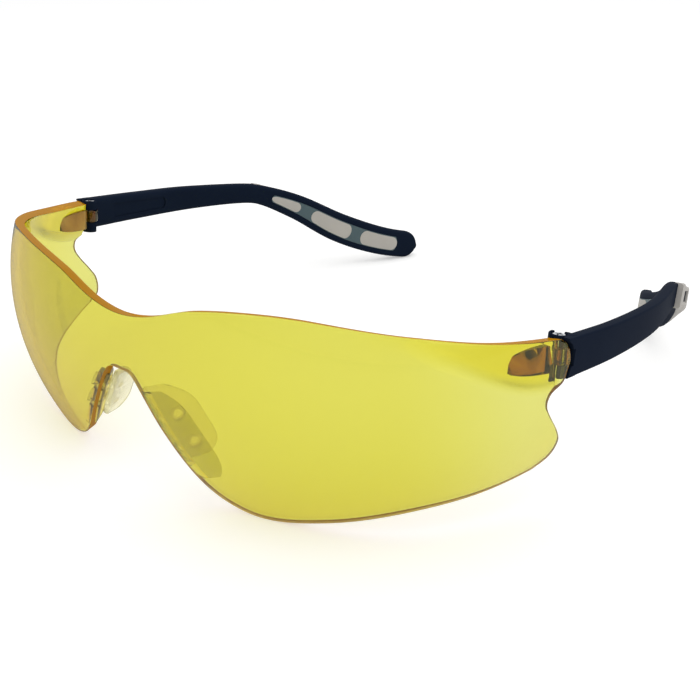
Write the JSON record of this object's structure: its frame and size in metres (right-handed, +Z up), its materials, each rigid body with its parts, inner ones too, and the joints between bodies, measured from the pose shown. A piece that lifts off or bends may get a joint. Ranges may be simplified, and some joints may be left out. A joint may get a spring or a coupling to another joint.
{
  "type": "safety glasses",
  "caption": "Wraparound safety glasses: a one-piece amber lens shield with soft nose pads and hinged dark temples whose flat ear ends carry soft grips.",
  "frame": {"origin": "centre of the object's footprint on the surface it rests on, under the middle of its bounding box", "axes": "+X towards the wearer's left, +Y from the lens towards the ear ends of the temples, +Z up; the object rests on the lens's lower edge and the temple ends, with the temples open"},
  "size_m": [0.1476, 0.1532, 0.0446],
  "materials": {
    "amber_polycarbonate": "clear moulded polycarbonate tinted amber yellow, hard coated and glossy",
    "black_nylon": "blue-black nylon, satin, slightly sheeny",
    "grey_grip_rubber": "soft grey overmoulded elastomer, matt",
    "chromed_steel": "bright plated screw",
    "clear_vinyl": "soft clear vinyl, glossy"
  },
  "bodies": {
    "frame": {"lens": "amber_polycarbonate", "nose_pad_left": "clear_vinyl", "nose_pad_right": "clear_vinyl"},
    "left_arm": {"temple_left": "black_nylon", "temple_grip_left": "grey_grip_rubber", "hinge_screw_left": "chromed_steel"},
    "right_arm": {"temple_right": "black_nylon", "temple_grip_right": "grey_grip_rubber", "hinge_screw_right": "chromed_steel"}
  },
  "joints": [
    {"name": "left_temple_fold", "type": "hinge", "parent": "frame", "child": "left_arm", "pos_m": [0.06942, -0.02906, 0.03277], "axis": [0, 0.1143, 0.9935], "range_deg": [0, 90]},
    {"name": "right_temple_fold", "type": "hinge", "parent": "frame", "child": "right_arm", "pos_m": [-0.06942, -0.02906, 0.03277], "axis": [0, -0.1143, -0.9935], "range_deg": [0, 80]}
  ]
}
